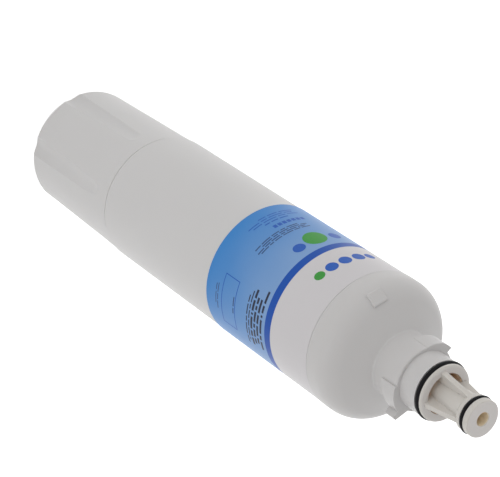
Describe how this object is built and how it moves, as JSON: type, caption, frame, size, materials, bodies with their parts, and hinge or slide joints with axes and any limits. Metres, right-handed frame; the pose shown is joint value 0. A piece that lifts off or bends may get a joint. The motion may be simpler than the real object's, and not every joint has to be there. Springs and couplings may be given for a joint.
{
  "type": "under-sink water filter cartridge",
  "caption": "Sealed white quick-change water filter cartridge with a fluted grip end, a printed label band, a bayonet head with an inlet barrel and an outlet nose, and a carbon block inside.",
  "frame": {"origin": "centre of the closed end, on the plane it stands on", "axes": "+Z along the cartridge from the closed end to the outlet nose; -Y is the side that faces the camera of the picture"},
  "size_m": [0.077, 0.077, 0.3693],
  "materials": {
    "white_plastic": "satin moulded polypropylene",
    "label_film": "satin printed film",
    "black_rubber": "greased moulded rubber",
    "carbon": "pressed carbon",
    "nonwoven": "nonwoven sheet",
    "cap_plastic": "satin moulded polypropylene"
  },
  "bodies": {
    "root": {"sump": "white_plastic", "head": "white_plastic", "inlet_spigot": "white_plastic", "outlet_stem": "white_plastic", "label_wrap": "label_film", "spigot_o_ring": "black_rubber", "nose_o_ring": "black_rubber", "carbon_block": "carbon", "prefilter_wrap": "nonwoven", "upper_end_cap": "cap_plastic", "lower_end_cap": "cap_plastic", "stem_o_ring": "black_rubber"}
  },
  "joints": []
}
